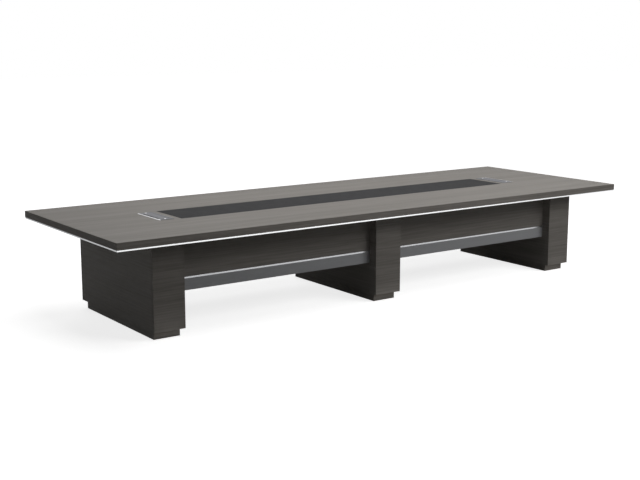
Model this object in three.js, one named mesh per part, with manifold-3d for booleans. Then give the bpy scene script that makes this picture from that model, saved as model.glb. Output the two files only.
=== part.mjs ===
// Conference table: a long wood-grain top in two halves on three box pedestals, with modesty aprons
// between the pedestals and a cable box let into the top beyond each end of a charcoal inlay.
// Millimetres. +X runs along the table, +Y across it and +Z up, from the floor under its middle.

import * as THREE from 'three';
import { mergeVertices } from 'three/addons/utils/BufferGeometryUtils.js';
import Module from 'manifold-3d';

// Overall sizes
const TABLE_LENGTH = 4800;
const TABLE_WIDTH = 1600;
const TABLE_HEIGHT = 760;

// Gap between neighbouring pieces, and how far a cutting block runs past the face that it opens
const CLEARANCE = 0.3;
const CUT_PAST = 1;

// Top: a field board with a thickened border, and a bright strip under that border
const FIELD_THICKNESS = 28;
const EDGE_DROP = 22;
const EDGE_LIP = 80;
const TRIM_HEIGHT = 10;
const TRIM_WIDTH = 30;
const TRIM_INSET = 2;

// Charcoal inlay, flush with the top
const INLAY_WIDTH = 400;
const INLAY_THICKNESS = 4;

// Pedestals
const END_OVERHANG = 350;
const SIDE_OVERHANG = 200;
const PEDESTAL_WIDTH = 245;
const BOARD_THICKNESS = 18;
const PLINTH_HEIGHT = 60;
const PLINTH_SIDE_RECESS = 20;
const PLINTH_END_RECESS = 50;
const PLINTH_WALL = 18;

// Levelling feet, drawn fully screwed in
const FOOT_PAD_DIAMETER = 40;
const FOOT_PAD_HEIGHT = 8;
const FOOT_PAD_CHAMFER = 1.5;
const FOOT_PAD_MARGIN = 10;
const FOOT_STEM_DIAMETER = 10;
const FOOT_FLOOR_GAP = 0.5;

// Modesty aprons: wood board, bright joining strip, silver-grey rail
const APRON_SETBACK = 80;
const APRON_THICKNESS = 18;
const RAIL_FLOOR_GAP = 308;
const RAIL_FACE = 86;
const STRIP_FACE = 12;
const STRIP_FLANGE = 2;
const STRIP_WEB = 2;

// Cable boxes: place on the top and cut-out
const BOX_TO_PEDESTAL = 35;
const BOX_TO_INLAY = 50;
const CUTOUT_WIDTH = 100;
const CUTOUT_LENGTH = 340;

// Cable boxes: frame
const BEZEL_FLANGE = 10;
const BEZEL_RISE = 3;
const BEZEL_CORNER = 8;
const BEZEL_CHAMFER = 1.2;
const BEZEL_WALL = 4;
const BEZEL_COLLAR = 20;
const LEDGE_WIDTH = 6;
const LEDGE_THICKNESS = 3;
const LEDGE_TO_SLOT = 5;

// Cable boxes: flap and its hinge
const LID_THICKNESS = 4;
const LID_GAP = 1;
const SLOT_WIDTH = 10;
const SLOT_LENGTH = 240;
const PIN_DIAMETER = 4;
const BARREL_WALL = 1.7;

// Cable boxes: tub and its bar of outlets
const TUB_DEPTH = 70;
const TUB_WALL = 2;
const CABLE_EXIT_WIDTH = 50;
const CABLE_EXIT_HEIGHT = 25;
const CABLE_EXIT_SILL = 6;
const SOCKET_BAR_WIDTH = 46;
const SOCKET_BAR_HEIGHT = 32;
const SOCKET_BAR_END_ROOM = 45;
const SOCKET_COUNT = 4;
const SOCKET_SPACING = 12;
const SOCKET_MARGIN = 4;
const SOCKET_FACE_RISE = 1;

// Sides of the round pieces
const ROUND_SIDES = 32;
const CORNER_STEPS = 6;

// Levels and places that follow from the sizes above
const fieldUnderside = TABLE_HEIGHT - FIELD_THICKNESS;
const edgeUnderside = fieldUnderside - EDGE_DROP;
const carcassTop = fieldUnderside - CLEARANCE;
const halfLength = TABLE_LENGTH / 2;
const halfWidth = TABLE_WIDTH / 2;
const pedestalDepth = TABLE_WIDTH - 2 * SIDE_OVERHANG;
const endPedestalX = halfLength - END_OVERHANG - PEDESTAL_WIDTH / 2;
const bezelWidth = CUTOUT_WIDTH + 2 * BEZEL_FLANGE;
const bezelLength = CUTOUT_LENGTH + 2 * BEZEL_FLANGE;
const boxX = endPedestalX - PEDESTAL_WIDTH / 2 - BOX_TO_PEDESTAL - bezelWidth / 2;
const inlayEndX = boxX - bezelWidth / 2 - BOX_TO_INLAY;

const wasm = await Module();
wasm.setup();

// Finishes
function finish(color, roughness, metalness) {
  return new THREE.MeshStandardMaterial({ color, roughness, metalness });
}

const greyOak = finish(0x7b7670, 0.55, 0);
const charcoal = finish(0x45454a, 0.6, 0);
const brightAluminium = finish(0xe8e9ea, 0.2, 1);
const satinAluminium = finish(0x9a9b9f, 0.4, 1);
const silverGrey = finish(0xa9aaad, 0.45, 0);
const rawBoard = finish(0xb39a76, 0.8, 0);
const blackSteel = finish(0x2a2b2d, 0.5, 1);
const zincSteel = finish(0xb4b6b8, 0.35, 1);
const blackPlastic = finish(0x1c1c1e, 0.5, 0);

// Solids and cuts
function toSolid(geometry) {
  const bare = geometry.clone();
  bare.deleteAttribute('normal');
  bare.deleteAttribute('uv');
  const welded = mergeVertices(bare);
  return new wasm.Manifold(new wasm.Mesh({
    numProp: 3,
    vertProperties: new Float32Array(welded.attributes.position.array),
    triVerts: new Uint32Array(welded.index.array),
  }));
}

function toGeometry(solid) {
  const mesh = solid.getMesh();
  const geometry = new THREE.BufferGeometry();
  geometry.setAttribute('position', new THREE.BufferAttribute(mesh.vertProperties, 3));
  geometry.setIndex(new THREE.BufferAttribute(mesh.triVerts, 1));
  return geometry;
}

function join(...geometries) {
  return toGeometry(geometries.map(toSolid).reduce((whole, part) => whole.add(part)));
}

function cut(geometry, ...tools) {
  return toGeometry(tools.map(toSolid).reduce((whole, tool) => whole.subtract(tool), toSolid(geometry)));
}

// A box from its low corner to its high corner
function block(low, high) {
  const size = high.map((value, axis) => value - low[axis]);
  const middle = high.map((value, axis) => (value + low[axis]) / 2);
  return new THREE.BoxGeometry(...size).translate(...middle);
}

// A box centred on the Z axis, from one level to another
function centredBlock(sizeX, sizeY, lowZ, highZ) {
  return block([-sizeX / 2, -sizeY / 2, lowZ], [sizeX / 2, sizeY / 2, highZ]);
}

// A rod along Y through the given point of the XZ plane
function rodAlongY(radius, length, x, z) {
  return new THREE.CylinderGeometry(radius, radius, length, ROUND_SIDES).translate(x, 0, z);
}

function addPiece(group, name, geometry, material) {
  const piece = new THREE.Mesh(geometry, material);
  piece.name = name;
  group.add(piece);
  return piece;
}

// One half of the top, on the +X side of the seam
function topHalf() {
  const board = block(
    [CLEARANCE / 2, -halfWidth, edgeUnderside],
    [halfLength, halfWidth, TABLE_HEIGHT],
  );
  const underside = block(
    [-CUT_PAST, -halfWidth + EDGE_LIP, edgeUnderside - CUT_PAST],
    [halfLength - EDGE_LIP, halfWidth - EDGE_LIP, fieldUnderside],
  );
  const bedHalfWidth = INLAY_WIDTH / 2 + CLEARANCE;
  const inlayBed = block(
    [-CUT_PAST, -bedHalfWidth, TABLE_HEIGHT - INLAY_THICKNESS - CLEARANCE],
    [inlayEndX + CLEARANCE, bedHalfWidth, TABLE_HEIGHT + CUT_PAST],
  );
  const cutout = centredBlock(
    CUTOUT_WIDTH,
    CUTOUT_LENGTH,
    fieldUnderside - CUT_PAST,
    TABLE_HEIGHT + CUT_PAST,
  ).translate(boxX, 0, 0);
  return cut(board, underside, inlayBed, cutout);
}

function inlayHalf() {
  return block(
    [CLEARANCE / 2, -INLAY_WIDTH / 2, TABLE_HEIGHT - INLAY_THICKNESS],
    [inlayEndX, INLAY_WIDTH / 2, TABLE_HEIGHT],
  );
}

// A strip with mitred ends under the border of the top, along the side that faces -Y
function edgeTrim(sideLength, sideDistance) {
  const outerY = TRIM_INSET - sideDistance;
  const innerY = outerY + TRIM_WIDTH;
  const outerX = sideLength / 2 - TRIM_INSET - CLEARANCE / Math.SQRT2;
  const innerX = outerX - TRIM_WIDTH;
  const outline = new THREE.Shape([
    new THREE.Vector2(-outerX, outerY),
    new THREE.Vector2(outerX, outerY),
    new THREE.Vector2(innerX, innerY),
    new THREE.Vector2(-innerX, innerY),
  ]);
  const strip = new THREE.ExtrudeGeometry(outline, { depth: TRIM_HEIGHT, bevelEnabled: false });
  return strip.translate(0, 0, edgeUnderside - CLEARANCE - TRIM_HEIGHT);
}

// Plinth frame with a block at each end that a levelling foot screws into
const plinthWidth = PEDESTAL_WIDTH - 2 * PLINTH_SIDE_RECESS;
const plinthDepth = pedestalDepth - 2 * PLINTH_END_RECESS;
const plinthTop = PLINTH_HEIGHT - CLEARANCE;
const footBlockLength = FOOT_PAD_DIAMETER + 2 * FOOT_PAD_MARGIN;
const footY = plinthDepth / 2 - PLINTH_WALL - footBlockLength / 2;
const footPadTop = FOOT_FLOOR_GAP + FOOT_PAD_HEIGHT;

function plinth() {
  const innerWidth = plinthWidth - 2 * PLINTH_WALL;
  const innerDepth = plinthDepth - 2 * PLINTH_WALL;
  const frame = centredBlock(plinthWidth, plinthDepth, 0, plinthTop);
  const well = centredBlock(innerWidth, innerDepth - 2 * footBlockLength, -CUT_PAST, plinthTop + CUT_PAST);
  const footRoom = centredBlock(innerWidth, innerDepth, -CUT_PAST, footPadTop + CLEARANCE);
  const boreRadius = FOOT_STEM_DIAMETER / 2 + CLEARANCE;
  const bores = [-footY, footY].map((y) => {
    const bore = new THREE.CylinderGeometry(boreRadius, boreRadius, 2 * PLINTH_HEIGHT, ROUND_SIDES);
    return bore.rotateX(Math.PI / 2).translate(0, y, PLINTH_HEIGHT / 2);
  });
  return cut(frame, well, footRoom, ...bores);
}

function levellingFoot() {
  const padRadius = FOOT_PAD_DIAMETER / 2;
  const stemRadius = FOOT_STEM_DIAMETER / 2;
  const stemTop = plinthTop - CLEARANCE;
  const profile = [
    new THREE.Vector2(0, FOOT_FLOOR_GAP),
    new THREE.Vector2(padRadius - FOOT_PAD_CHAMFER, FOOT_FLOOR_GAP),
    new THREE.Vector2(padRadius, FOOT_FLOOR_GAP + FOOT_PAD_CHAMFER),
    new THREE.Vector2(padRadius, footPadTop),
    new THREE.Vector2(stemRadius, footPadTop),
    new THREE.Vector2(stemRadius, stemTop),
    new THREE.Vector2(0, stemTop),
  ];
  return new THREE.LatheGeometry(profile, ROUND_SIDES).rotateX(Math.PI / 2);
}

// One pedestal: the end boards cover the edges of the side boards, cap and base lie between all four
function pedestal(place) {
  const group = new THREE.Group();
  const name = (piece) => `${place}_pedestal_${piece}`;
  const halfDepth = pedestalDepth / 2;
  const innerWidth = PEDESTAL_WIDTH - 2 * (BOARD_THICKNESS + CLEARANCE);
  const innerDepth = pedestalDepth - 2 * (BOARD_THICKNESS + CLEARANCE);
  const sideX = (PEDESTAL_WIDTH - BOARD_THICKNESS) / 2;
  const endY = halfDepth - BOARD_THICKNESS / 2;
  for (const [side, x] of [['left', -sideX], ['right', sideX]]) {
    const board = centredBlock(BOARD_THICKNESS, innerDepth, PLINTH_HEIGHT, carcassTop);
    addPiece(group, name(`${side}_panel`), board, greyOak).position.x = x;
  }
  for (const [end, y] of [['front', -endY], ['back', endY]]) {
    const board = centredBlock(PEDESTAL_WIDTH, BOARD_THICKNESS, PLINTH_HEIGHT, carcassTop);
    addPiece(group, name(`${end}_panel`), board, greyOak).position.y = y;
  }
  const cap = centredBlock(innerWidth, innerDepth, carcassTop - BOARD_THICKNESS, carcassTop);
  addPiece(group, name('cap_board'), cap, rawBoard);
  const base = centredBlock(innerWidth, innerDepth, PLINTH_HEIGHT, PLINTH_HEIGHT + BOARD_THICKNESS);
  addPiece(group, name('base_board'), base, rawBoard);
  addPiece(group, name('plinth'), plinth(), greyOak);
  for (const [end, y] of [['front', -footY], ['back', footY]]) {
    addPiece(group, name(`${end}_foot`), levellingFoot(), zincSteel).position.y = y;
  }
  return group;
}

// One modesty apron on the side that faces -Y, centred on its bay
function apron(name) {
  const group = new THREE.Group();
  const bay = endPedestalX - PEDESTAL_WIDTH;
  const length = bay - 2 * CLEARANCE;
  const stripTop = RAIL_FLOOR_GAP + RAIL_FACE + STRIP_FACE;
  const stripMiddle = stripTop - STRIP_FACE / 2;
  const webHalf = STRIP_WEB / 2;
  const panel = centredBlock(length, APRON_THICKNESS, stripMiddle + webHalf + CLEARANCE, carcassTop);
  addPiece(group, `${name}_panel`, panel, greyOak);
  const rail = centredBlock(length, APRON_THICKNESS, RAIL_FLOOR_GAP, stripMiddle - webHalf - CLEARANCE);
  addPiece(group, `${name}_rail`, rail, silverGrey);
  addPiece(group, `${name}_strip`, joiningStrip(length).translate(0, 0, stripMiddle), brightAluminium);
  group.position.y = APRON_SETBACK + APRON_THICKNESS / 2 - pedestalDepth / 2;
  return group;
}

// H-section strip along X: the boards above and below stand in its grooves
function joiningStrip(length) {
  const grooveHalf = APRON_THICKNESS / 2 + CLEARANCE;
  const outerHalf = grooveHalf + STRIP_FLANGE;
  return cut(
    centredBlock(length, 2 * outerHalf, -STRIP_FACE / 2, STRIP_FACE / 2),
    centredBlock(length + 2 * CUT_PAST, 2 * grooveHalf, STRIP_WEB / 2, STRIP_FACE / 2 + CUT_PAST),
    centredBlock(length + 2 * CUT_PAST, 2 * grooveHalf, -STRIP_FACE / 2 - CUT_PAST, -STRIP_WEB / 2),
  );
}

// Cable box, drawn round its own middle with Z = 0 on the table top; its flap opens towards +X
const collarWidth = CUTOUT_WIDTH - 2 * CLEARANCE;
const collarLength = CUTOUT_LENGTH - 2 * CLEARANCE;
const mouthWidth = collarWidth - 2 * BEZEL_WALL;
const mouthLength = collarLength - 2 * BEZEL_WALL;
const lidUnderside = BEZEL_RISE - LID_THICKNESS;
const lidFreeX = mouthWidth / 2 - LID_GAP;
const lidLength = mouthLength - 2 * LID_GAP;
const pinBoreRadius = PIN_DIAMETER / 2 + CLEARANCE;
const barrelRadius = pinBoreRadius + BARREL_WALL;
const hingeX = LID_GAP + barrelRadius - mouthWidth / 2;
const hingeZ = BEZEL_RISE - barrelRadius;
const tubTop = -BEZEL_COLLAR - CLEARANCE;
const tubFloor = tubTop - TUB_DEPTH + TUB_WALL;

function roundedRectangle(width, length, radius) {
  const x = width / 2 - radius;
  const y = length / 2 - radius;
  const outline = new THREE.Shape();
  outline.absarc(x, y, radius, 0, Math.PI / 2);
  outline.absarc(-x, y, radius, Math.PI / 2, Math.PI);
  outline.absarc(-x, -y, radius, Math.PI, 1.5 * Math.PI);
  outline.absarc(x, -y, radius, 1.5 * Math.PI, 2 * Math.PI);
  outline.closePath();
  return outline;
}

function bezel() {
  const flange = new THREE.ExtrudeGeometry(roundedRectangle(bezelWidth, bezelLength, BEZEL_CORNER), {
    depth: BEZEL_RISE,
    bevelThickness: BEZEL_CHAMFER,
    bevelSize: BEZEL_CHAMFER,
    bevelOffset: -BEZEL_CHAMFER,
    bevelSegments: 1,
    curveSegments: CORNER_STEPS,
  }).translate(0, 0, -BEZEL_CHAMFER);
  const belowFlange = centredBlock(2 * bezelWidth, 2 * bezelLength, -BEZEL_RISE - BEZEL_CHAMFER, CLEARANCE);
  const collar = centredBlock(collarWidth, collarLength, -BEZEL_COLLAR, BEZEL_RISE / 2);
  const mouth = centredBlock(mouthWidth, mouthLength, -BEZEL_COLLAR - CUT_PAST, BEZEL_RISE + CUT_PAST);
  const frame = cut(join(cut(flange, belowFlange), collar), mouth);
  const ledgeTop = lidUnderside - CLEARANCE;
  const ledges = [-1, 1].map((end) => {
    const nearSlot = end * (SLOT_LENGTH / 2 + LEDGE_TO_SLOT);
    const inWall = end * (mouthLength / 2 + BEZEL_WALL / 2);
    return block(
      [mouthWidth / 2 - LEDGE_WIDTH, Math.min(nearSlot, inWall), ledgeTop - LEDGE_THICKNESS],
      [mouthWidth / 2 + BEZEL_WALL / 2, Math.max(nearSlot, inWall), ledgeTop],
    );
  });
  return cut(join(frame, ...ledges), rodAlongY(pinBoreRadius, collarLength, hingeX, hingeZ));
}

function lid() {
  const plate = block(
    [hingeX, -lidLength / 2, lidUnderside],
    [lidFreeX, lidLength / 2, BEZEL_RISE],
  );
  const barrel = rodAlongY(barrelRadius, lidLength, hingeX, hingeZ);
  const pinBore = rodAlongY(pinBoreRadius, lidLength + 2 * CUT_PAST, hingeX, hingeZ);
  const cableSlot = block(
    [lidFreeX - SLOT_WIDTH, -SLOT_LENGTH / 2, lidUnderside - CUT_PAST],
    [lidFreeX + CUT_PAST, SLOT_LENGTH / 2, BEZEL_RISE + CUT_PAST],
  );
  return cut(join(plate, barrel), pinBore, cableSlot);
}

function tub() {
  const shell = centredBlock(collarWidth, collarLength, tubFloor - TUB_WALL, tubTop);
  const hollow = centredBlock(
    collarWidth - 2 * TUB_WALL,
    collarLength - 2 * TUB_WALL,
    tubFloor,
    tubTop + CUT_PAST,
  );
  const exitBottom = tubFloor + CABLE_EXIT_SILL;
  const cableExits = centredBlock(
    CABLE_EXIT_WIDTH,
    collarLength + 2 * CUT_PAST,
    exitBottom,
    exitBottom + CABLE_EXIT_HEIGHT,
  );
  return cut(shell, hollow, cableExits);
}

function socketBar() {
  const length = collarLength - 2 * (TUB_WALL + SOCKET_BAR_END_ROOM);
  const foot = tubFloor + CLEARANCE;
  const top = foot + SOCKET_BAR_HEIGHT;
  const pitch = length / SOCKET_COUNT;
  const faces = Array.from({ length: SOCKET_COUNT }, (_, index) => {
    const y = (index + 0.5) * pitch - length / 2;
    const face = centredBlock(
      SOCKET_BAR_WIDTH - 2 * SOCKET_MARGIN,
      pitch - SOCKET_SPACING,
      top - SOCKET_FACE_RISE,
      top + SOCKET_FACE_RISE,
    );
    return face.translate(0, y, 0);
  });
  return join(centredBlock(SOCKET_BAR_WIDTH, length, foot, top), ...faces);
}

function cableBox(side) {
  const group = new THREE.Group();
  const pinLength = collarLength - 2 * CLEARANCE;
  addPiece(group, `${side}_box_bezel`, bezel(), brightAluminium);
  addPiece(group, `${side}_box_lid`, lid(), satinAluminium);
  addPiece(group, `${side}_box_hinge_pin`, rodAlongY(PIN_DIAMETER / 2, pinLength, hingeX, hingeZ), zincSteel);
  addPiece(group, `${side}_box_tub`, tub(), blackSteel);
  addPiece(group, `${side}_box_socket_bar`, socketBar(), blackPlastic);
  group.position.set(boxX, 0, TABLE_HEIGHT);
  return group;
}

const table = new THREE.Group();

// The two ends are the same, turned half round
for (const [side, turn] of [['right', 0], ['left', Math.PI]]) {
  const end = new THREE.Group();
  addPiece(end, `top_${side}`, topHalf(), greyOak);
  addPiece(end, `inlay_${side}`, inlayHalf(), charcoal);
  const trim = edgeTrim(TABLE_WIDTH, halfLength).rotateZ(Math.PI / 2);
  addPiece(end, `edge_trim_${side}`, trim, brightAluminium);
  end.add(cableBox(side));
  end.rotation.z = turn;
  table.add(end);
}

// The two long sides are the same, turned half round
for (const [face, turn, bays] of [['front', 0, ['left', 'right']], ['back', Math.PI, ['right', 'left']]]) {
  const longSide = new THREE.Group();
  addPiece(longSide, `edge_trim_${face}`, edgeTrim(TABLE_LENGTH, halfWidth), brightAluminium);
  bays.forEach((bay, index) => {
    const piece = apron(`apron_${face}_${bay}`);
    piece.position.x = (index - 0.5) * endPedestalX;
    longSide.add(piece);
  });
  longSide.rotation.z = turn;
  table.add(longSide);
}

for (const [place, x] of [['left', -endPedestalX], ['centre', 0], ['right', endPedestalX]]) {
  const stand = pedestal(place);
  stand.position.x = x;
  table.add(stand);
}

export default table;
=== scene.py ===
"""Looks of a conference table: a long wood-grain top on three box pedestals, with modesty aprons
between them and a cable box beyond each end of a charcoal inlay.

Laid out as an add-on and run as a script. Lengths are in metres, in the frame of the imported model:
+X along the table, +Y across it to the back, +Z up from the floor.
"""

import math

import bmesh
import bpy
from bpy.props import FloatProperty, FloatVectorProperty, IntProperty, PointerProperty
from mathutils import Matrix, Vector


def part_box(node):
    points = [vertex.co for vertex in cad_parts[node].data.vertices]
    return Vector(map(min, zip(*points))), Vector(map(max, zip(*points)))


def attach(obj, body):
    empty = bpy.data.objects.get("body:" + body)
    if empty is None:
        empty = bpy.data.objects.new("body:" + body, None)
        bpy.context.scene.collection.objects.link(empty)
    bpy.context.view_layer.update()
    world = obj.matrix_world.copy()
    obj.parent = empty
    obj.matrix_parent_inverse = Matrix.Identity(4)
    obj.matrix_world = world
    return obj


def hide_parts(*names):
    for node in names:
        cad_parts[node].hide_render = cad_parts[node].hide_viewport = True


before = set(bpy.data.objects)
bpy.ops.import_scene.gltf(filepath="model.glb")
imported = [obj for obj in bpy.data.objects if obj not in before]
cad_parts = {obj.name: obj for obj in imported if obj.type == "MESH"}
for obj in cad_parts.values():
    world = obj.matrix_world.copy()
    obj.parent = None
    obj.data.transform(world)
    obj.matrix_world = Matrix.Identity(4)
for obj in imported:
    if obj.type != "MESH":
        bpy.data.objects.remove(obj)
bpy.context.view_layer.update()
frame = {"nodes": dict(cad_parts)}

bl_info = {
    "name": "Conference Table Looks",
    "version": (1, 0, 0),
    "blender": (4, 5, 0),
    "location": "View3D > Sidebar > Table",
    "description": "Finishes and fine detail of a conference table on three box pedestals",
    "category": "Object",
}

MM = 0.001

# Degrees between two faces above which their edge is eased, or stays sharp
CREASE = 35

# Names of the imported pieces, as the groups that are finished alike
SIDES = ("left", "right")
FACES = ("front", "back")
PLACES = ("left", "centre", "right")
BAYS = [f"apron_{face}_{side}" for face in FACES for side in SIDES]
LONG_EDGES = [f"edge_trim_{face}" for face in FACES]
END_EDGES = [f"edge_trim_{side}" for side in SIDES]
BOX_BOARDS = ("left_panel", "right_panel", "front_panel", "back_panel", "plinth")
INNER_BOARDS = ("cap_board", "base_board")

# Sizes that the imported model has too
CLEARANCE = 0.3 * MM
FOOT_PAD = 8 * MM
STEM_CORE = 4.3 * MM

# Oak print: width and length of its marks in millimetres, and their detail
OAK_BAND = (120, 2600, 3)
OAK_STREAK = (13, 520, 6)
OAK_PORE = (2.4, 70, 3)

# Values between which most of a noise lies, the height of a relief and the spread of a gloss
NOISE_LOW = 0.3
NOISE_HIGH = 0.7
RELIEF = 0.2 * MM
GLOSS_SPREAD = 0.1

WHITE = (1, 1, 1)

# Camera of the photograph: place in metres, turn and dip in degrees, lens and sensor in millimetres
CAMERA_PLACE = (-5.391, -7.255, 2.104)
CAMERA_TURN = 35.422
CAMERA_DIP = 10.708
CAMERA_LENS = 62.562
SENSOR_WIDTH = 36


def linear(code):
    """An sRGB hex colour as linear red, green and blue."""
    shares = [int(code[start:start + 2], 16) / 255 for start in (1, 3, 5)]
    return [s / 12.92 if s <= 0.04045 else ((s + 0.055) / 1.055) ** 2.4 for s in shares]


def colour(title, text, code):
    """A colour that can be set in the sidebar."""
    return FloatVectorProperty(
        name=title,
        description=text,
        subtype="COLOR",
        size=3,
        min=0,
        max=1,
        default=linear(code),
    )


def length(title, text, millimetres):
    """A length that can be set in the sidebar."""
    return FloatProperty(
        name=title,
        description=text,
        subtype="DISTANCE",
        unit="LENGTH",
        min=0,
        default=millimetres * MM,
    )


def power(title, text, watts):
    """A lamp's power that can be set in the sidebar."""
    return FloatProperty(name=title, description=text, unit="POWER", min=0, default=watts)


class TableSizes(bpy.types.PropertyGroup):
    """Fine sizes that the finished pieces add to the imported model."""

    board_ease: length("Board edge", "Rounding on the edges of the laminated boards", 1.5)
    metal_ease: length("Metal edge", "Rounding on the edges of the aluminium strips", 0.8)
    bezel_round: length("Frame edge", "Rounding on the rim of the cable box frames", 2.4)
    bezel_wall: length("Frame wall", "Wall of the cable box frames inside the cut-out", 4)
    button: length("Button", "Diameter of the bright press buttons on the flaps", 15)
    button_rise: length("Button rise", "Height of the bright press buttons above the flaps", 1.4)
    knuckles: IntProperty(name="Knuckles", description="Hinge knuckles on a flap", min=1, default=9)
    knuckle_gap: length("Knuckle gap", "Gap between two hinge knuckles", 0.6)
    thread_pitch: length("Thread pitch", "Pitch of the thread on the levelling feet", 1.5)


class TableColours(bpy.types.PropertyGroup):
    """Colours of the finishes."""

    oak_dark: colour("Oak, dark", "Darkest streaks of the oak print", "#706c67")
    oak_middle: colour("Oak, middle", "Ground of the oak print", "#7e7a75")
    oak_light: colour("Oak, light", "Lightest streaks of the oak print", "#8a8681")
    charcoal: colour("Charcoal", "The inlay in the top", "#3b3b3c")
    silver: colour("Silver grey", "The rail below each apron", "#a2a3a5")
    aluminium: colour("Aluminium", "Polished trim and frames", "#d8d9da")
    # Darker than the polished aluminium: partly a duller finish, partly painted shade for the dim
    # light on these strips
    strip: colour("Strip", "Drawn strips under the ends of the top and below each apron", "#a6a7a9")
    flap: colour("Flap", "Brushed flaps of the cable boxes", "#54555b")
    frame: colour("Frame", "Satin frames of the cable boxes", "#67686b")
    floor: colour("Floor", "The studio floor", "#f4f4f4")


class TableLight(bpy.types.PropertyGroup):
    """Studio light."""

    key: power("Key", "Softbox over the table", 119)
    front: power("Front", "Softbox in front, to the right", 124)
    back: power("Back", "Softbox behind the table", 45)
    foot: power("Foot", "Short strip on the floor in front of each pedestal", 0.065)
    ambient: FloatProperty(
        name="Ambient", description="Even light from all round", min=0, default=0.02
    )


# Nodes and materials


def node(tree, kind, links=None, **settings):
    """Adds a node with its settings. Each input takes a socket to link or a value to hold."""
    made = tree.nodes.new(kind)
    for name, value in settings.items():
        setattr(made, name, value)
    for socket, value in (links or {}).items():
        if isinstance(value, bpy.types.NodeSocket):
            tree.links.new(value, made.inputs[socket])
        else:
            made.inputs[socket].default_value = value
    return made


def new_material(name, constants):
    """A material whose plain numbers and colours sit on the shader's own sockets."""
    material = bpy.data.materials.new(name)
    material.use_nodes = True
    shader = material.node_tree.nodes["Principled BSDF"]
    for socket, value in constants.items():
        shader.inputs[socket].default_value = value
    return material, material.node_tree, shader


def opaque(rgb):
    """A colour with full alpha, as colour sockets take it."""
    return (*rgb, 1)


def stretched(width, length_along, axis):
    """Scale of a pattern that is so many millimetres wide, and longer along one axis."""
    scale = [1 / (width * MM)] * 3
    if axis is not None:
        scale[axis] = 1 / (length_along * MM)
    return scale


def noise_layers(tree, layers, axis=None):
    """Noise on Object coordinates, from each layer's width and length in millimetres, and detail."""
    place = node(tree, "ShaderNodeTexCoord")
    made = []
    for width, length_along, detail in layers:
        scaled = node(
            tree,
            "ShaderNodeMapping",
            {"Vector": place.outputs["Object"], "Scale": stretched(width, length_along, axis)},
        )
        made.append(node(
            tree,
            "ShaderNodeTexNoise",
            {"Vector": scaled.outputs["Vector"], "Scale": 1, "Detail": detail, "Roughness": 0.55},
        ).outputs["Fac"])
    return made


def grey_oak(name, axis):
    """Melamine board with an oak print, its grain along the given axis."""
    # The print gives long soft bands, narrower streaks inside them and short dark pores. The matt
    # film over it gives a low sheen that the pores break. The streaks are drawn about three times
    # as wide as on a real board, or they would not show on a table of this length.
    streak_share = 0.62
    darkest_at = 0.34
    lightest_at = 0.66
    pore_range = (0.6, 0.74)
    pore_tint = 0.4
    sheen_range = (0.46, 0.56)
    pore_relief = 0.2
    colours = bpy.context.scene.table_colours
    material, tree, shader = new_material(name, {"IOR": 1.5, "Specular IOR Level": 0.05})
    band, streak, pore = noise_layers(tree, (OAK_BAND, OAK_STREAK, OAK_PORE), axis)
    mixed = node(
        tree,
        "ShaderNodeMix",
        {"Factor": streak_share, "A": band, "B": streak},
        data_type="FLOAT",
    )
    tone = node(tree, "ShaderNodeValToRGB", {"Fac": mixed.outputs["Result"]})
    ramp = tone.color_ramp
    ramp.elements[0].position = darkest_at
    ramp.elements[0].color = opaque(colours.oak_dark)
    ramp.elements[1].position = lightest_at
    ramp.elements[1].color = opaque(colours.oak_light)
    ramp.elements.new((darkest_at + lightest_at) / 2).color = opaque(colours.oak_middle)
    dark_pore = node(
        tree,
        "ShaderNodeMapRange",
        {
            "Value": pore,
            "From Min": pore_range[0],
            "From Max": pore_range[1],
            "To Min": 0,
            "To Max": pore_tint,
        },
    )
    printed = node(
        tree,
        "ShaderNodeMix",
        {
            "Factor": dark_pore.outputs["Result"],
            "A": tone.outputs["Color"],
            "B": opaque(colours.oak_dark),
        },
        data_type="RGBA",
    )
    sheen = node(
        tree,
        "ShaderNodeMapRange",
        {
            "Value": streak,
            "From Min": NOISE_LOW,
            "From Max": NOISE_HIGH,
            "To Min": sheen_range[0],
            "To Max": sheen_range[1],
        },
    )
    relief = node(
        tree, "ShaderNodeBump", {"Strength": pore_relief, "Distance": RELIEF, "Height": pore}
    )
    tree.links.new(printed.outputs["Result"], shader.inputs["Base Color"])
    tree.links.new(sheen.outputs["Result"], shader.inputs["Roughness"])
    tree.links.new(relief.outputs["Normal"], shader.inputs["Normal"])
    return material


def speckled(name, constants, rgb, layers, depth, relief, axis=None):
    """A plain finish whose colour, gloss and surface vary a little with a fine pattern."""
    # Scratches, stipple and grain are finer than a millimetre on the real finishes. They are drawn
    # one to three millimetres wide, or they would not show.
    material, tree, shader = new_material(name, constants)
    coarse, fine = noise_layers(tree, layers, axis)
    pattern = node(
        tree, "ShaderNodeMix", {"Factor": 0.5, "A": coarse, "B": fine}, data_type="FLOAT"
    )
    tone = node(
        tree,
        "ShaderNodeMix",
        {
            "Factor": pattern.outputs["Result"],
            "A": opaque([max(0, share * (1 - depth)) for share in rgb]),
            "B": opaque([min(1, share * (1 + depth)) for share in rgb]),
        },
        data_type="RGBA",
    )
    middle = constants["Roughness"]
    gloss = node(
        tree,
        "ShaderNodeMapRange",
        {
            "Value": pattern.outputs["Result"],
            "From Min": NOISE_LOW,
            "From Max": NOISE_HIGH,
            "To Min": middle * (1 - GLOSS_SPREAD),
            "To Max": middle * (1 + GLOSS_SPREAD),
        },
    )
    bumps = node(tree, "ShaderNodeBump", {"Strength": relief, "Distance": RELIEF, "Height": fine})
    tree.links.new(tone.outputs["Result"], shader.inputs["Base Color"])
    tree.links.new(gloss.outputs["Result"], shader.inputs["Roughness"])
    tree.links.new(bumps.outputs["Normal"], shader.inputs["Normal"])
    return material


def finish(name):
    """The material of that name, made when it is first asked for."""
    return bpy.data.materials.get(name) or FINISHES[name](name)


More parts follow.
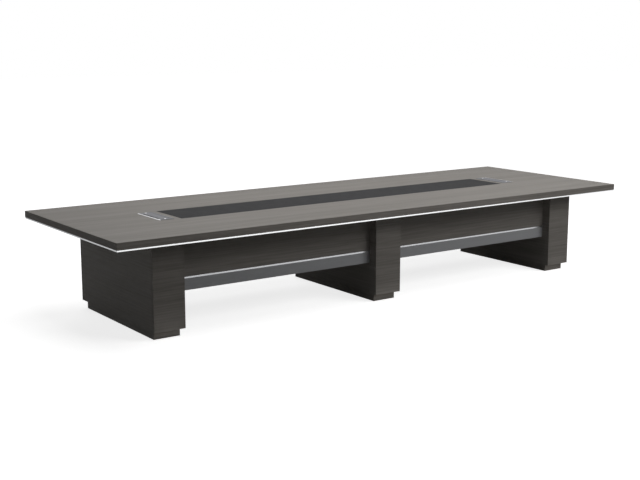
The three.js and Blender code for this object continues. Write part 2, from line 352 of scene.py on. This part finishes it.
def charcoal_laminate(name):
    """High-pressure laminate with a fine stipple: dark, dead matt, almost without grain."""
    rgb = bpy.context.scene.table_colours.charcoal
    constants = {"Roughness": 0.75, "IOR": 1.5, "Specular IOR Level": 0.03}
    layers = ((60, 60, 2), (2.5, 2.5, 2))
    return speckled(name, constants, rgb, layers, depth=0.05, relief=0.15)


def polished_aluminium(name):
    """Extruded and polished aluminium: a clear mirror, with faint drawing lines along X."""
    rgb = bpy.context.scene.table_colours.aluminium
    constants = {"Roughness": 0.16, "Metallic": 1}
    layers = ((20, 600, 2), (2, 300, 2))
    return speckled(name, constants, rgb, layers, depth=0.02, relief=0.02, axis=0)


def drawn_aluminium(name, axis):
    """Drawn and anodised aluminium: a soft mirror, with drawing lines along the given axis. Its
    colour is darker than the polished trim's: partly a duller finish, partly painted shade.
    """
    rgb = bpy.context.scene.table_colours.strip
    constants = {"Roughness": 0.3, "Metallic": 1}
    layers = ((15, 600, 2), (2, 300, 2))
    return speckled(name, constants, rgb, layers, depth=0.06, relief=0.04, axis=axis)


def brushed_aluminium(name):
    """Aluminium sheet brushed along Y under a grey lacquer: long fine scratches, half hidden."""
    rgb = bpy.context.scene.table_colours.flap
    constants = {"Roughness": 0.4, "Metallic": 0.1, "Specular IOR Level": 0.1}
    layers = ((8, 200, 2), (1.5, 90, 2))
    return speckled(name, constants, rgb, layers, depth=0.08, relief=0.06, axis=1)


def blasted_aluminium(name):
    """Cast aluminium, bead blasted under a grey lacquer: an even satin with a little glitter."""
    rgb = bpy.context.scene.table_colours.frame
    constants = {"Roughness": 0.4, "Metallic": 0.1, "Specular IOR Level": 0.1}
    layers = ((6, 6, 2), (1, 1, 2))
    return speckled(name, constants, rgb, layers, depth=0.06, relief=0.08)


def silver_melamine(name):
    """Board in a silver-grey decor film: satin, with a faint drawn streak along X."""
    rgb = bpy.context.scene.table_colours.silver
    constants = {"Roughness": 0.42, "IOR": 1.5, "Specular IOR Level": 0.1}
    layers = ((12, 500, 3), (3, 160, 2))
    return speckled(name, constants, rgb, layers, depth=0.1, relief=0.03, axis=0)


def particle_board(name):
    """Bare particle board: pale chips of mixed tone, quite without gloss."""
    constants = {"Roughness": 0.85, "IOR": 1.5, "Specular IOR Level": 0.1}
    rgb = linear("#a58e6c")
    layers = ((9, 9, 3), (2.5, 2.5, 3))
    return speckled(name, constants, rgb, layers, depth=0.35, relief=0.4)


def black_powder_coat(name):
    """Sheet steel under black powder coat: a soft orange-peel gloss."""
    constants = {"Roughness": 0.5, "IOR": 1.5, "Specular IOR Level": 0.4}
    rgb = linear("#1c1d1f")
    layers = ((6, 6, 2), (1.2, 1.2, 2))
    return speckled(name, constants, rgb, layers, depth=0.15, relief=0.25)


def zinc_plated_steel(name):
    """Turned steel with bright zinc: cool grey, slightly cloudy."""
    constants = {"Roughness": 0.3, "Metallic": 1}
    rgb = linear("#b6b9bd")
    layers = ((9, 9, 3), (2, 2, 2))
    return speckled(name, constants, rgb, layers, depth=0.1, relief=0.05)


def black_moulding(name):
    """Moulded ABS with a fine spark-eroded grain: black, half matt."""
    constants = {"Roughness": 0.48, "IOR": 1.53, "Specular IOR Level": 0.4}
    rgb = linear("#2a2b2e")
    layers = ((5, 5, 2), (0.8, 0.8, 2))
    return speckled(name, constants, rgb, layers, depth=0.12, relief=0.2)


FINISHES = {
    "grey_oak_lengthwise": lambda name: grey_oak(name, 0),
    "grey_oak_crosswise": lambda name: grey_oak(name, 1),
    "charcoal_laminate": charcoal_laminate,
    "polished_aluminium": polished_aluminium,
    "drawn_aluminium_lengthwise": lambda name: drawn_aluminium(name, 0),
    "drawn_aluminium_crosswise": lambda name: drawn_aluminium(name, 1),
    "brushed_aluminium": brushed_aluminium,
    "blasted_aluminium": blasted_aluminium,
    "silver_melamine": silver_melamine,
    "particle_board": particle_board,
    "black_powder_coat": black_powder_coat,
    "zinc_plated_steel": zinc_plated_steel,
    "black_moulding": black_moulding,
}
OAK = ("grey_oak_lengthwise", "grey_oak_crosswise")


# Shapes


def merged_copy(name):
    """A CAD node's shape with its triangles merged into whole faces."""
    source = frame["nodes"][name].data
    shape = bmesh.new()
    corners = [shape.verts.new(vertex.co) for vertex in source.vertices]
    for triangle in source.polygons:
        shape.faces.new([corners[index] for index in triangle.vertices])
    bmesh.ops.remove_doubles(shape, verts=shape.verts, dist=1e-6)
    bmesh.ops.dissolve_limit(
        shape, angle_limit=math.radians(0.5), verts=shape.verts, edges=shape.edges
    )
    return shape


def grid_solid(xs, ys, zs, filled=lambda i, j, k: True):
    """A closed solid of the boxes between the given planes, of those that filled() keeps."""
    counts = [len(planes) - 1 for planes in (xs, ys, zs)]
    cells = {
        (i, j, k)
        for i in range(counts[0])
        for j in range(counts[1])
        for k in range(counts[2])
        if filled(i, j, k)
    }
    shape = bmesh.new()
    corners = {}
    for cell in cells:
        for axis in range(3):
            for side in (0, 1):
                beyond = list(cell)
                beyond[axis] += 2 * side - 1
                if tuple(beyond) in cells:
                    continue
                first, second = [other for other in range(3) if other != axis]
                turns = ((0, 0), (1, 0), (1, 1), (0, 1))
                if (side == 1) == (axis == 1):
                    turns = turns[::-1]
                face = []
                for step_first, step_second in turns:
                    at = list(cell)
                    at[axis] += side
                    at[first] += step_first
                    at[second] += step_second
                    key = tuple(at)
                    if key not in corners:
                        corners[key] = shape.verts.new((xs[at[0]], ys[at[1]], zs[at[2]]))
                    face.append(corners[key])
                shape.faces.new(face)
    return shape


def rounded_ring(width, depth, radius, level, steps=8):
    """Points round a rectangle with round corners, at one level, centred on the Z axis."""
    points = []
    for quarter, (sign_x, sign_y) in enumerate(((1, 1), (-1, 1), (-1, -1), (1, -1))):
        middle = Vector((sign_x * (width / 2 - radius), sign_y * (depth / 2 - radius), level))
        for step in range(steps + 1):
            angle = math.pi / 2 * (quarter + step / steps)
            points.append(middle + Vector((math.cos(angle), math.sin(angle), 0)) * radius)
    return points


def circle_rings(profile, steps=8):
    """Circles round the Z axis, from pairs of radius and level."""
    return [rounded_ring(2 * radius, 2 * radius, radius, level, steps) for radius, level in profile]


def shifted(rings, place):
    """The rings, moved to a place."""
    return [[point + place for point in ring] for ring in rings]


def quarter_arc(steps):
    """Steps up a quarter round: the shares of its radius that are cut back and left above."""
    angles = [math.pi / 2 * step / steps for step in range(steps + 1)]
    return [(1 - math.cos(angle), 1 - math.sin(angle)) for angle in angles]


def loft(rings, closed=False):
    """Faces from ring to ring, upwards on the outside, with flat ends or back to the first ring."""
    shape = bmesh.new()
    rows = [[shape.verts.new(point) for point in ring] for ring in rings]
    pairs = list(zip(rows, rows[1:]))
    if closed:
        pairs.append((rows[-1], rows[0]))
    else:
        shape.faces.new(rows[0][::-1])
        shape.faces.new(rows[-1])
    for low, high in pairs:
        for here in range(len(low)):
            after = (here + 1) % len(low)
            shape.faces.new((low[here], low[after], high[after], high[here]))
    return shape


def to_object(name, shape, crease=None):
    """A mesh object at the origin from a bmesh, which is used up. A crease keeps sharper edges."""
    mesh = bpy.data.meshes.new(name)
    bmesh.ops.remove_doubles(shape, verts=shape.verts, dist=1e-7)
    for face in shape.faces:
        face.smooth = True
    shape.to_mesh(mesh)
    shape.free()
    if crease:
        mesh.set_sharp_from_angle(angle=math.radians(crease))
    made = bpy.data.objects.new(name, mesh)
    bpy.context.scene.collection.objects.link(made)
    return made


def settle(piece):
    """Turns a piece and its modifiers into a plain mesh."""
    bpy.context.view_layer.update()
    graph = bpy.context.evaluated_depsgraph_get()
    plain = bpy.data.meshes.new_from_object(
        piece.evaluated_get(graph), preserve_all_data_layers=True, depsgraph=graph
    )
    piece.modifiers.clear()
    piece.data = plain
    return piece


def eased(piece, width, segments=2):
    """Rounds the sharp edges of a piece and keeps its flat faces flat."""
    rounding = piece.modifiers.new("ease", "BEVEL")
    rounding.width = width
    rounding.segments = segments
    rounding.limit_method = "ANGLE"
    rounding.angle_limit = math.radians(CREASE)
    rounding.harden_normals = True
    return settle(piece)


def dress(piece, finishes, body, slot, *nodes):
    """Gives a piece its finish, its body and the CAD nodes that it stands for; its slot argument is
    not used.
    Where there are two finishes, the second one goes on the faces that look along X."""
    mesh = piece.data
    mesh.materials.clear()
    for name in finishes:
        mesh.materials.append(finish(name))
    along_x = 0.75
    for face in mesh.polygons:
        face.material_index = int(len(finishes) > 1 and abs(face.normal.x) > along_x)
    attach(piece, body)
    if nodes:
        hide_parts(*nodes)
    return piece


def eased_piece(name, width, finishes, slot, at_seam=False):
    """The eased form of one CAD node of the table's fixed body, which it stands for.
    A piece at the seam of the top is brought up to it, so that no light shows through the seam."""
    shape = merged_copy(name)
    if at_seam:
        for corner in shape.verts:
            if abs(corner.co.x) < CLEARANCE:
                corner.co.x = 0
    piece = eased(to_object(f"{name}_eased", shape), width)
    return dress(piece, finishes, "table", slot, name)


def refinish(name, material):
    """A better material for a CAD node that stays."""
    for holder in frame["nodes"][name].material_slots:
        holder.material = finish(material)


def repeat_tree():
    """Node group that repeats its geometry along a straight line and gives it one material."""
    found = bpy.data.node_groups.get("repeat_along_line")
    if found:
        return found
    tree = bpy.data.node_groups.new("repeat_along_line", "GeometryNodeTree")
    for name, kind in (
        ("Geometry", "NodeSocketGeometry"),
        ("Count", "NodeSocketInt"),
        ("Start", "NodeSocketVector"),
        ("Step", "NodeSocketVector"),
        ("Finish", "NodeSocketMaterial"),
    ):
        tree.interface.new_socket(name=name, in_out="INPUT", socket_type=kind)
    tree.interface.new_socket(name="Geometry", in_out="OUTPUT", socket_type="NodeSocketGeometry")
    given = node(tree, "NodeGroupInput").outputs
    line = node(
        tree,
        "GeometryNodeMeshLine",
        {"Count": given["Count"], "Start Location": given["Start"], "Offset": given["Step"]},
        mode="OFFSET",
    )
    copies = node(
        tree,
        "GeometryNodeInstanceOnPoints",
        {"Points": line.outputs["Mesh"], "Instance": given["Geometry"]},
    )
    real = node(tree, "GeometryNodeRealizeInstances", {"Geometry": copies.outputs["Instances"]})
    painted = node(
        tree,
        "GeometryNodeSetMaterial",
        {"Geometry": real.outputs["Geometry"], "Material": given["Finish"]},
    )
    node(tree, "NodeGroupOutput", {"Geometry": painted.outputs["Geometry"]})
    return tree


def repeated(piece, count, start, step, material):
    """Repeats a piece along a line with Geometry Nodes and settles the result."""
    tree = repeat_tree()
    values = {"Count": count, "Start": start, "Step": step, "Finish": finish(material)}
    copier = piece.modifiers.new("repeat", "NODES")
    copier.node_group = tree
    for item in tree.interface.items_tree:
        if item.in_out == "INPUT" and item.name in values:
            copier[item.identifier] = values[item.name]
    return settle(piece)


# Operators, one for each group of like pieces


class TABLE_OT_top(bpy.types.Operator):
    """Two halves of the top and of its charcoal inlay, with eased edges"""

    bl_idname = "conference_table.top"
    bl_label = "Top and Inlay"

    def execute(self, context):
        ease = context.scene.table_sizes.board_ease
        inlay_ease = ease / 3
        for side in SIDES:
            eased_piece(f"top_{side}", ease, OAK, "grey_oak", at_seam=True)
            eased_piece(
                f"inlay_{side}", inlay_ease, ("charcoal_laminate",), "charcoal", at_seam=True
            )
        return {"FINISHED"}


class TABLE_OT_edge_trim(bpy.types.Operator):
    """Bright mitred strips under the edge of the top"""

    bl_idname = "conference_table.edge_trim"
    bl_label = "Edge Trim"

    def execute(self, context):
        ease = context.scene.table_sizes.metal_ease
        for name in LONG_EDGES:
            eased_piece(name, ease, ("polished_aluminium",), "bright_aluminium")
        # The end strips of the same trim take the darker drawn finish: painted shade for the dimmer
        # light at the ends of the top
        for name in END_EDGES:
            eased_piece(name, ease, ("drawn_aluminium_crosswise",), "bright_aluminium")
        return {"FINISHED"}


class TABLE_OT_pedestals(bpy.types.Operator):
    """Boards and plinths of the three pedestals"""

    bl_idname = "conference_table.pedestals"
    bl_label = "Pedestals"

    def execute(self, context):
        ease = context.scene.table_sizes.board_ease
        for place in PLACES:
            for board in BOX_BOARDS:
                eased_piece(f"{place}_pedestal_{board}", ease, OAK, "grey_oak")
            for board in INNER_BOARDS:
                refinish(f"{place}_pedestal_{board}", "particle_board")
        return {"FINISHED"}


class TABLE_OT_aprons(bpy.types.Operator):
    """Wood panel, bright strip and silver-grey rail of each apron"""

    bl_idname = "conference_table.aprons"
    bl_label = "Aprons"

    def execute(self, context):
        sizes = context.scene.table_sizes
        drawn = ("drawn_aluminium_lengthwise",)
        for bay in BAYS:
            eased_piece(f"{bay}_panel", sizes.board_ease, OAK, "grey_oak")
            eased_piece(f"{bay}_rail", sizes.board_ease, ("silver_melamine",), "silver_grey")
            # The strip's darker drawn finish is partly painted shade for the dim light under the
            # overhang of the top
            eased_piece(f"{bay}_strip", sizes.metal_ease, drawn, "bright_aluminium")
        return {"FINISHED"}


class TABLE_OT_levelling_feet(bpy.types.Operator):
    """Turned pads and threaded stems of the levelling feet"""

    bl_idname = "conference_table.levelling_feet"
    bl_label = "Levelling Feet"

    def execute(self, context):
        pitch = context.scene.table_sizes.thread_pitch
        for place in PLACES:
            for face in FACES:
                name = f"{place}_pedestal_{face}_foot"
                low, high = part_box(name)
                self.pad(name, low, high)
                self.thread(name, low, high, pitch)
        return {"FINISHED"}

    def pad(self, name, low, high):
        """The round pad with its rolled rims, and the core of its stem."""
        radius = (high.x - low.x) / 2
        rim = 1.6 * MM
        rim_side = 0.5 * MM
        lower_rim = 1.5 * MM
        lower_rim_side = 0.4 * MM
        profile = (
            (radius - rim, 0),
            (radius - rim_side, lower_rim_side),
            (radius, lower_rim),
            (radius, FOOT_PAD - rim),
            (radius - rim_side, FOOT_PAD - rim_side),
            (radius - rim, FOOT_PAD),
            (STEM_CORE, FOOT_PAD),
            (STEM_CORE, high.z - low.z),
        )
        place = Vector(((low.x + high.x) / 2, (low.y + high.y) / 2, low.z))
        piece = to_object(f"{name}_turned", loft(shifted(circle_rings(profile), place)))
        eased(piece, 0.2 * MM, 1)
        dress(piece, ("zinc_plated_steel",), name, "zinc_steel", name)

    def thread(self, name, low, high, pitch):
        """The thread of the stem, a closed ring for each turn."""
        root = 3.9 * MM
        crest = 5 * MM
        turn = (
            (root, pitch * 0.1),
            (STEM_CORE, pitch * 0.1),
            (crest, pitch * 0.4),
            (crest, pitch * 0.6),
            (STEM_CORE, pitch * 0.9),
            (root, pitch * 0.9),
        )
        piece = to_object(f"{name}_thread", loft(circle_rings(turn, 5), closed=True), CREASE)
        first = low.z + FOOT_PAD
        count = int((high.z - first) / pitch)
        start = ((low.x + high.x) / 2, (low.y + high.y) / 2, first)
        repeated(piece, count, start, (0, 0, pitch), "zinc_plated_steel")
        dress(piece, ("zinc_plated_steel",), name, "zinc_steel")


class TABLE_OT_cable_boxes(bpy.types.Operator):
    """Frame, flap, hinge and tub of each cable box"""

    bl_idname = "conference_table.cable_boxes"
    bl_label = "Cable Boxes"

    def execute(self, context):
        sizes = context.scene.table_sizes
        for side in SIDES:
            box = f"{side}_box"
            outward = 1 if side == "right" else -1
            low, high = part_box(f"{box}_tub")
            collar = high - low
            mouth = (collar.x - 2 * sizes.bezel_wall, collar.y - 2 * sizes.bezel_wall)
            low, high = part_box(f"{box}_hinge_pin")
            axis = (low + high) / 2
            self.rim(sizes, box, outward, collar, mouth)
            self.ledges(box, outward, mouth, axis)
            low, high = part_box(f"{box}_lid")
            free = high.x if outward > 0 else low.x
            self.plate(box, outward, axis, free)
            self.knuckles(sizes, box, axis)
            self.buttons(sizes, box, (axis.x + free) / 2)
            refinish(f"{box}_hinge_pin", "zinc_plated_steel")
            refinish(f"{box}_tub", "black_powder_coat")
        return {"FINISHED"}

    def rim(self, sizes, box, outward, collar, mouth):
        """The satin frame with its bright outer edge, and its collar with black inner walls."""
        low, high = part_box(f"{box}_bezel")
        middle = (low + high) / 2
        size = high - low
        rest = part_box("top_left")[1].z + CLEARANCE
        corner = 8 * MM
        inner_corner = 0.6 * MM
        bright = 7 * MM
        lip = 0.5 * MM
        rings = [
            rounded_ring(collar.x, collar.y, inner_corner, low.z),
            rounded_ring(collar.x, collar.y, inner_corner, rest),
            rounded_ring(size.x, size.y, corner, rest),
        ]
        for back, above in quarter_arc(5):
            cut = sizes.bezel_round * back
            level = high.z - sizes.bezel_round * above
            rings.append(rounded_ring(size.x - 2 * cut, size.y - 2 * cut, corner - cut, level))
        rings += [
            rounded_ring(size.x - 2 * bright, size.y - 2 * bright, corner - bright, high.z),
            rounded_ring(mouth[0] + 2 * lip, mouth[1] + 2 * lip, inner_corner + lip, high.z),
            rounded_ring(mouth[0], mouth[1], inner_corner, high.z - lip),
            rounded_ring(mouth[0], mouth[1], inner_corner, low.z),
        ]
        shape = loft(shifted(rings, Vector((middle.x, middle.y, 0))), closed=True)
        piece = to_object(f"{box}_bezel_frame", shape, CREASE)
        dress(piece, ("blasted_aluminium",), "table", "satin_aluminium", f"{box}_bezel")
        piece.data.materials.append(finish("black_powder_coat"))
        piece.data.materials.append(finish("polished_aluminium"))
        near = 0.2 * MM
        below_lip = high.z - 1.2 * lip
        for face in piece.data.polygons:
            offset = face.center - middle
            walled = abs(offset.x) < collar.x / 2 + near and abs(offset.y) < collar.y / 2 + near
            if walled and face.center.z < below_lip:
                face.material_index = 1
            elif face.center.z > rest and outward * offset.x > size.x / 2 - bright:
                face.material_index = 2

    def ledges(self, box, outward, mouth, axis):
        """Two rests in the mouth's outer corners that the closed flap lies on."""
        low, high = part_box(f"{box}_bezel")
        wall = (low.x + high.x) / 2 + outward * mouth[0] / 2
        top = axis.z - CLEARANCE
        thickness = 3 * MM
        depth = 6 * MM
        seat = 2 * MM
        slot_clear = 125 * MM
        for end, word in ((-1, "near"), (1, "far")):
            xs = sorted((wall - outward * depth, wall + outward * seat))
            ys = sorted((end * slot_clear, end * (mouth[1] / 2 + seat)))
            shape = grid_solid(xs, ys, (top - thickness, top))
            piece = eased(to_object(f"{box}_{word}_ledge", shape), 0.4 * MM, 1)
            dress(piece, ("black_powder_coat",), "table", "black_steel")

    def plate(self, box, outward, axis, free):
        """The brushed flap with its cable slot and the hollow for the hinge pin."""
        low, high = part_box(f"{box}_lid")
        slot_edge = free - outward * 10 * MM
        slot_half = 120 * MM
        hollow = 2.6 * MM
        xs = sorted((axis.x, axis.x + outward * hollow, slot_edge, free))
        ys = [low.y, -slot_half, slot_half, high.y]
        zs = [axis.z, axis.z + hollow, high.z]

        def filled(i, j, k):
            across = i if outward > 0 else 2 - i
            return not (across == 0 and k == 0) and not (across == 2 and j == 1)

        piece = eased(to_object(f"{box}_flap", grid_solid(xs, ys, zs, filled)), 0.5 * MM)
        dress(piece, ("brushed_aluminium",), f"{box}_lid", "satin_aluminium", f"{box}_lid")

    def knuckles(self, sizes, box, axis):
        """The hinge knuckles along the flap's inner edge."""
        low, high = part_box(f"{box}_lid")
        barrel = high.z - axis.z
        pitch = (high.y - low.y) / sizes.knuckles
        span = pitch - sizes.knuckle_gap
        bore = 2.3 * MM
        chamfer = 0.3 * MM
        profile = (
            (bore, 0),
            (barrel - chamfer, 0),
            (barrel, chamfer),
            (barrel, span - chamfer),
            (barrel - chamfer, span),
            (bore, span),
        )
        shape = loft(circle_rings(profile, 6), closed=True)
        for vertex in shape.verts:
            vertex.co = Vector((vertex.co.x, vertex.co.z, -vertex.co.y))
        piece = to_object(f"{box}_flap_knuckles", shape, CREASE)
        start = (axis.x, low.y + sizes.knuckle_gap / 2, axis.z)
        repeated(piece, sizes.knuckles, start, (0, pitch, 0), "brushed_aluminium")
        dress(piece, ("brushed_aluminium",), f"{box}_lid", "satin_aluminium")

    def buttons(self, sizes, box, across):
        """The bright press buttons at the two ends of the flap."""
        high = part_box(f"{box}_lid")[1]
        radius = sizes.button / 2
        rounding = sizes.button_rise * 0.8
        profile = [(radius, 0)]
        for back, above in quarter_arc(4):
            profile.append((radius - 2 * rounding * back, sizes.button_rise - rounding * above))
        piece = to_object(f"{box}_flap_buttons", loft(circle_rings(profile)), CREASE)
        margin = 4 * MM
        sunk = 0.05 * MM
        reach = high.y - margin - radius
        start = (across, -reach, high.z - sunk)
        repeated(piece, 2, start, (0, 2 * reach, 0), "polished_aluminium")
        dress(piece, ("polished_aluminium",), f"{box}_lid", "bright_aluminium")


class TABLE_OT_socket_bars(bpy.types.Operator):
    """Bar with flat-pin outlets in each cable box"""

    bl_idname = "conference_table.socket_bars"
    bl_label = "Socket Bars"

    def execute(self, context):
        for side in SIDES:
            self.bar(f"{side}_box_socket_bar")
        return {"FINISHED"}

    def bar(self, name):
        """The moulded housing, and a row of outlets on it with two flat slots and an earth slot."""
        low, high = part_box(name)
        face_rise = 1 * MM
        top = high.z - face_rise
        shape = grid_solid((low.x, high.x), (low.y, high.y), (low.z, top))
        housing = eased(to_object(f"{name}_housing", shape), 2.5 * MM, 4)
        dress(housing, ("black_moulding",), "table", "black_plastic", name)

        count = 4
        pitch = (high.y - low.y) / count
        margin = 4 * MM
        gap = 12 * MM
        half = (high.x - low.x) / 2 - margin
        reach = (pitch - gap) / 2
        slot = (7 * MM, 9 * MM)
        earth = 2 * MM
        seat = -1 * MM
        slot_floor = 0.1 * MM
        xs = [-half, -slot[1], -slot[0], -earth, earth, slot[0], slot[1], half]
        ys = [-reach, -9 * MM, -4 * MM, 2 * MM, 10 * MM, reach]
        zs = [seat, slot_floor, face_rise]

        def filled(i, j, k):
            flat_slot = i in (1, 5) and j == 3
            earth_slot = i == 3 and j == 1
            return k == 0 or not (flat_slot or earth_slot)

        outlets = eased(to_object(f"{name}_outlets", grid_solid(xs, ys, zs, filled)), 0.3 * MM)
        start = ((low.x + high.x) / 2, low.y + pitch / 2, top)
        repeated(outlets, count, start, (0, pitch, 0), "black_moulding")
        dress(outlets, ("black_moulding",), "table", "black_plastic")


class TABLE_OT_stage(bpy.types.Operator):
    """Camera of the photograph, soft studio light and a pale floor"""

    bl_idname = "conference_table.stage"
    bl_label = "Stage"

    def execute(self, context):
        scene = context.scene
        scene.view_settings.view_transform = "Standard"
        self.camera(scene)
        self.lamps(scene)
        self.surroundings(scene)
        self.floor(scene)
        return {"FINISHED"}

    def camera(self, scene):
        """The camera at the photograph's place."""
        view = bpy.data.cameras.new("photograph_camera")
        view.sensor_width = SENSOR_WIDTH
        view.lens = CAMERA_LENS
        holder = bpy.data.objects.new("photograph_camera", view)
        holder.location = CAMERA_PLACE
        holder.rotation_euler = (math.radians(90 - CAMERA_DIP), 0, -math.radians(CAMERA_TURN))
        scene.collection.objects.link(holder)
        scene.camera = holder

    def lamps(self, scene):
        """A softbox over the table, in front and behind, and a strip at the foot of each pedestal."""
        light = scene.table_light
        # Name, place, target and size in metres, and power
        rows = [
            ("overhead_softbox", (0.9, -0.3, 3.6), (0.9, -0.3, 0), (7, 4.5), light.key),
            ("front_softbox", (3, -5.4, 4), (1, -0.6, 0.3), (4, 2.5), light.front),
            ("back_softbox", (0, 4.8, 4.6), (0, 0.6, 0.3), (3.6, 2), light.back),
        ]
        for place in PLACES:
            low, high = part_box(f"{place}_pedestal_plinth")
            spot = Vector(((low.x + high.x) / 2, -0.645, 2 * MM))
            above = spot + Vector((0, 0, 1))
            rows.append((f"{place}_foot_strip", spot, above, (0.25, 0.15), light.foot))
        for name, place, target, size, watts in rows:
            lamp = bpy.data.lights.new(name, "AREA")
            lamp.shape = "RECTANGLE"
            lamp.size, lamp.size_y = size
            lamp.energy = watts
            holder = bpy.data.objects.new(name, lamp)
            holder.location = place
            aim = Vector(target) - Vector(place)
            holder.rotation_euler = aim.to_track_quat("-Z", "Y").to_euler()
            scene.collection.objects.link(holder)

    def seen(self, tree):
        """A socket that is 1 for what the eye, a mirror or glass sees, and 0 for a matt face."""
        path = node(tree, "ShaderNodeLightPath").outputs
        share = path["Is Camera Ray"]
        for ray in ("Is Glossy Ray", "Is Transmission Ray"):
            larger = node(tree, "ShaderNodeMath", {0: share, 1: path[ray]}, operation="MAXIMUM")
            share = larger.outputs[0]
        return share

    def surroundings(self, scene):
        """White studio walls to the eye, and a low even light on the table."""
        world = bpy.data.worlds.new("studio")
        world.use_nodes = True
        tree = world.node_tree
        tree.nodes.clear()
        strength = scene.table_light.ambient
        even = node(tree, "ShaderNodeBackground", {"Color": opaque(WHITE), "Strength": strength})
        white = node(tree, "ShaderNodeBackground", {"Color": opaque(WHITE), "Strength": 1})
        mixed = node(
            tree,
            "ShaderNodeMixShader",
            {0: self.seen(tree), 1: even.outputs[0], 2: white.outputs[0]},
        )
        node(tree, "ShaderNodeOutputWorld", {"Surface": mixed.outputs[0]})
        scene.world = world

    def floor(self, scene):
        """A wide white floor that keeps the table's soft shadow, in an oval round the table."""
        reach = 40
        under = -0.5 * MM
        oval = (4.2, 2.6)
        oval_fade = (0.55, 1.5)
        oval_white = 0.8
        bounce = 0.3
        shape = bmesh.new()
        shape.faces.new([
            shape.verts.new((sign_x * reach, sign_y * reach, under))
            for sign_x, sign_y in ((-1, -1), (1, -1), (1, 1), (-1, 1))
        ])
        plane = to_object("studio_floor", shape)
        constants = {"Roughness": 1, "Specular IOR Level": 0, "Emission Color": opaque(WHITE)}
        material, tree, shader = new_material("white_studio_floor", constants)
        seen = self.seen(tree)
        place = node(tree, "ShaderNodeTexCoord")
        centred = node(
            tree,
            "ShaderNodeMapping",
            {"Vector": place.outputs["Object"], "Scale": (1 / oval[0], 1 / oval[1], 0)},
        )
        away = node(
            tree, "ShaderNodeVectorMath", {0: centred.outputs["Vector"]}, operation="LENGTH"
        )
        glow = node(
            tree,
            "ShaderNodeMapRange",
            {
                "Value": away.outputs["Value"],
                "From Min": oval_fade[0],
                "From Max": oval_fade[1],
                "To Min": oval_white,
                "To Max": 1,
            },
            interpolation_type="SMOOTHSTEP",
        )
        shown = node(
            tree, "ShaderNodeMath", {0: glow.outputs["Result"], 1: seen}, operation="MULTIPLY"
        )
        tone = node(
            tree,
            "ShaderNodeMix",
            {"Factor": seen, "A": opaque([bounce] * 3), "B": opaque(scene.table_colours.floor)},
            data_type="RGBA",
        )
        tree.links.new(tone.outputs["Result"], shader.inputs["Base Color"])
        tree.links.new(shown.outputs[0], shader.inputs["Emission Strength"])
        plane.data.materials.append(material)


class VIEW3D_PT_conference_table(bpy.types.Panel):
    """Sizes, colours and steps of the conference table"""

    bl_idname = "VIEW3D_PT_conference_table"
    bl_label = "Conference Table"
    bl_space_type = "VIEW_3D"
    bl_region_type = "UI"
    bl_category = "Table"

    def draw(self, context):
        scene = context.scene
        for title, group in (
            ("Sizes", scene.table_sizes),
            ("Colours", scene.table_colours),
            ("Light", scene.table_light),
        ):
            box = self.layout.box()
            box.label(text=title)
            for name in group.__annotations__:
                box.prop(group, name)
        for step in STEPS:
            self.layout.operator(step.bl_idname)


STEPS = (
    TABLE_OT_stage,
    TABLE_OT_top,
    TABLE_OT_edge_trim,
    TABLE_OT_pedestals,
    TABLE_OT_aprons,
    TABLE_OT_levelling_feet,
    TABLE_OT_cable_boxes,
    TABLE_OT_socket_bars,
)
GROUPS = {"table_sizes": TableSizes, "table_colours": TableColours, "table_light": TableLight}


def register():
    """Makes the settings, the steps and the sidebar known."""
    for group in GROUPS.values():
        bpy.utils.register_class(group)
    for name, group in GROUPS.items():
        setattr(bpy.types.Scene, name, PointerProperty(type=group))
    for kind in (*STEPS, VIEW3D_PT_conference_table):
        bpy.utils.register_class(kind)


def unregister():
    """Takes away what register() made known."""
    for kind in (VIEW3D_PT_conference_table, *reversed(STEPS)):
        bpy.utils.unregister_class(kind)
    for name, group in GROUPS.items():
        delattr(bpy.types.Scene, name)
        bpy.utils.unregister_class(group)


def main():
    """Builds the stage and the pieces."""
    register()
    bpy.ops.conference_table.stage()
    bpy.ops.conference_table.top()
    bpy.ops.conference_table.edge_trim()
    bpy.ops.conference_table.pedestals()
    bpy.ops.conference_table.aprons()
    bpy.ops.conference_table.levelling_feet()
    bpy.ops.conference_table.cable_boxes()
    bpy.ops.conference_table.socket_bars()


if __name__ == "__main__":
    main()
